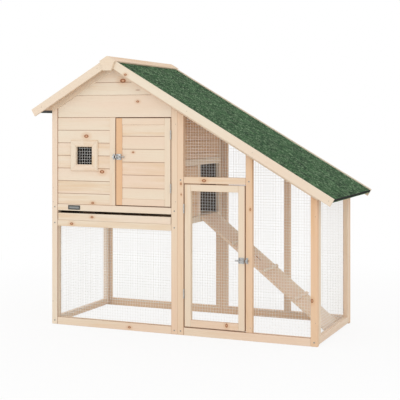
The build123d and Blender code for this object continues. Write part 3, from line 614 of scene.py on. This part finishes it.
def wirePanel(node, body, across, slope=0.0, inward=1, wire=mesh["wire"]):
    # across is the level axis; the top falls with the roof by slope
    low, high = (np.array(corner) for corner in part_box(node))
    a = "XY".index(across)
    b = 1 - a
    depth = low[b] if inward > 0 else high[b]
    radius = wire / 2
    upDepth = depth + inward * radius * 1.1
    levelDepth = depth + inward * radius * 2.9
    point = pointOn(a, b)

    def top(place):
        return high[2] - (place - low[a]) * slope

    uprights = closeWires(low[a] + radius, high[a] - radius, mesh["pitch"])
    levels = closeWires(low[2] + radius, high[2] - radius, mesh["pitch"])
    starts, ends = [], []
    for place in uprights:
        bend = random.normal(0, mesh["bend"])
        starts.append(point(place + bend, upDepth, low[2]))
        ends.append(point(place - bend, upDepth, top(place)))
    for height in levels:
        end = high[a]
        if slope:
            end = min(end, low[a] + (high[2] - height) / slope)
        if end - low[a] < mesh["pitch"]:
            continue
        starts.append(point(low[a], levelDepth, height))
        ends.append(point(end, levelDepth, height))
    piece = rods("wires_" + node, starts, ends, radius, mesh["sides"])
    piece.data.materials.append(looks["wire"])
    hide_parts(node)
    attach(piece, body)
    return staples(node, body, a, b, levelDepth, inward, low, high, top)


def staples(node, body, a, b, depth, inward, low, high, top):
    # a crown across each edge wire and two legs back to the wood
    point = pointOn(a, b)
    inset = staple["inset"]
    half = staple["wide"] / 2
    out = depth + inward * staple["proud"]
    back = depth - inward * staple["legs"]
    spots = []
    for place in (low[a] + inset, high[a] - inset):
        for height in np.arange(low[2] + staple["first"], top(place) - staple["last"], staple["every"]):
            spots.append((place, height, 0))
    for place in np.arange(low[a] + staple["first"], high[a] - staple["last"], staple["every"]):
        spots.append((place, low[2] + inset, 1))
        spots.append((place, top(place) - inset, 1))
    starts, ends = [], []
    for place, height, level in spots:
        tilt = random.normal(0, staple["tilt"])
        da = half * (math.sin(tilt) if level == 0 else math.cos(tilt))
        dz = half * (math.cos(tilt) if level == 0 else math.sin(tilt))
        one, two = (place - da, height - dz), (place + da, height + dz)
        starts += [point(one[0], out, one[1]), point(one[0], out, one[1]), point(two[0], out, two[1])]
        ends += [point(two[0], out, two[1]), point(one[0], back, one[1]), point(two[0], back, two[1])]
    piece = rods("staples_" + node, starts, ends, staple["radius"], 4)
    piece.data.materials.append(looks["zinc"])
    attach(piece, body)
    return piece


looks = {
    "wire": zincMaterial("galvanised wire", colour(242, 242, 239), 0.5, 0.0),
    "zinc": zincMaterial("zinc plate", zinc["colour"], zinc["roughness"]),
    "screw": zincMaterial("screw heads", colour(150, 146, 138), 0.4),
    "nail": zincMaterial("nail heads", colour(110, 96, 80), 0.5, 0.5),
}

dressWood()
for node in ("roof_felt_left", "roof_felt_right"):
    dress(node, feltMaterial())
dress("blank_label_plate", plateMaterial())
for node in nodes:
    if "hinge_leaves" in node or "bolt" in node:
        dress(node, looks["zinc"])
    if node.endswith("_screws"):
        dress(node, looks["screw"])
print("roof and fittings dressed")

slopeFall = math.tan(roofPitch)
wirePanel("window_mesh", "frame", "X", wire=mesh["windowWire"])
wirePanel("mesh_lower_front", "frame", "X")
wirePanel("mesh_lower_rear", "frame", "X", inward=-1)
wirePanel("mesh_lower_left", "frame", "Y")
wirePanel("mesh_run_upper", "frame", "X", slopeFall)
wirePanel("mesh_run_bay", "frame", "X", slopeFall)
wirePanel("mesh_run_rear", "frame", "X", slopeFall, inward=-1)
wirePanel("mesh_run_right", "frame", "Y", inward=-1)
wirePanel("run_door_mesh", "run_door", "X")
print("mesh wires made")

# nail heads: millimetres from the front left foot, and how far in front of the posts
nails = {
    "radius": 1.4 * mm,
    "proud": 0.3 * mm,
    "posts": [(6, 628), (6, 564), (6, 105), (627, 923), (627, 582), (974, 56), (1260, 539), (1262, 99)],
    "bargeBoards": [(-28, 1001), (262, 1173), (700, 979), (1000, 803), (1330, 610)],
}


def nailHeads():
    starts, ends = [], []
    faces = (("posts", frameFront), ("bargeBoards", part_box("front_barge_boards")[0].y))
    for group, face in faces:
        for nailX, nailZ in nails[group]:
            x, _, z = fromCorner(nailX, nailZ)
            starts.append((x, face - nails["proud"], z))
            ends.append((x, face + nails["proud"], z))
    piece = rods("nail_heads", starts, ends, nails["radius"], 10)
    piece.data.materials.append(looks["nail"])
    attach(piece, "frame")


nailHeads()
print("nails driven")

# studio

studio = {
    "floorSize": 30.0,
    "whiteFrom": 1.0,
    "whiteTo": 2.6,
    "whiteNear": 0.85,
    "floorColour": (0.86, 0.86, 0.86, 1),
    "ambient": 0.96,
    "keyPower": 29.0,
    "keySize": 3.2,
    "keyPlace": (-2.2, -4.6, 1.9),
    "fillPower": 15.0,
    "fillSize": 2.5,
    "fillPlace": (2.8, -3.4, 2.2),
    "aim": (0.0, 0.0, 0.5),
}


def floorMaterial():  # white to the camera, more so away from the hutch, and grey to the light
    sheet = Sheet("pale floor")
    x, y, z = sheet.position()
    away = (x ** 2.0 + y ** 2.0) ** 0.5
    far = sheet.ramp(away, studio["whiteFrom"], studio["whiteTo"])
    path = sheet.tree.nodes.new("ShaderNodeLightPath")
    seen = Socket(sheet, path.outputs["Is Camera Ray"]) + Socket(sheet, path.outputs["Is Glossy Ray"])
    seen = seen + Socket(sheet, path.outputs["Is Transmission Ray"])
    white = sheet.add("ShaderNodeEmission", None, {"Color": (1, 1, 1, 1), "Strength": 1.0})
    share = far * (1 - studio["whiteNear"]) + studio["whiteNear"]
    blend = sheet.add("ShaderNodeMixShader", None, [(seen > 0.5) * share])
    node = blend.output.node
    sheet.tree.links.new(sheet.shader.outputs[0], node.inputs[1])
    sheet.feed(node.inputs[2], white)
    out = sheet.tree.nodes["Material Output"]
    sheet.tree.links.new(blend.output, out.inputs["Surface"])
    return sheet.finish(Base_Color=studio["floorColour"], Roughness=0.9)


def makeStudio():
    half = studio["floorSize"] / 2
    corners = np.array([[-half, -half, 0], [half, -half, 0], [half, half, 0], [-half, half, 0]])
    floor = solid("floor", corners, [[0, 1, 2, 3]])
    floor.data.materials.append(floorMaterial())

    world = bpy.data.worlds.new("studio")
    bpy.context.scene.world = world
    world.use_nodes = True
    tree = world.node_tree
    back = tree.nodes["Background"]
    path = tree.nodes.new("ShaderNodeLightPath")
    total = tree.nodes.new("ShaderNodeMath")
    total.operation = "MAXIMUM"
    tree.links.new(path.outputs["Is Camera Ray"], total.inputs[0])
    tree.links.new(path.outputs["Is Glossy Ray"], total.inputs[1])
    level = tree.nodes.new("ShaderNodeMapRange")
    tree.links.new(total.outputs[0], level.inputs["Value"])
    level.inputs["To Min"].default_value = studio["ambient"]
    level.inputs["To Max"].default_value = 1.0
    tree.links.new(level.outputs[0], back.inputs["Strength"])
    back.inputs["Color"].default_value = (1, 1, 1, 1)

    for name, place, power, size in (
        ("key", studio["keyPlace"], studio["keyPower"], studio["keySize"]),
        ("fill", studio["fillPlace"], studio["fillPower"], studio["fillSize"]),
    ):
        light = bpy.data.lights.new(name, "AREA")
        light.energy = power
        light.size = size
        lamp = bpy.data.objects.new(name, light)
        lamp.location = place
        aim = np.array(studio["aim"]) - np.array(place)
        lamp.rotation_euler = (
            math.atan2(math.hypot(aim[0], aim[1]), -aim[2]),
            0,
            math.atan2(aim[1], aim[0]) - math.pi / 2,
        )
        bpy.context.scene.collection.objects.link(lamp)


view = {
    "fromCorner": (2413.7 * mm, -3997.4 * mm, 928.1 * mm),
    "turn": math.radians(22.69),
    "lens": 89.8,
    "horizon": 123.0,
    "pictureSize": 400.0,
}


def makeCamera():
    data = bpy.data.cameras.new("camera")
    data.lens = view["lens"]
    data.sensor_width = 36
    data.shift_y = (view["horizon"] - view["pictureSize"] / 2) / view["pictureSize"]
    camera = bpy.data.objects.new("camera", data)
    right, back, up = view["fromCorner"]
    camera.location = (frameLeft + right, frameFront + back, up)
    camera.rotation_euler = (math.pi / 2, 0, view["turn"])
    bpy.context.scene.collection.objects.link(camera)
    bpy.context.scene.camera = camera


makeStudio()
makeCamera()
bpy.context.scene.view_settings.view_transform = "Standard"
print("studio ready")
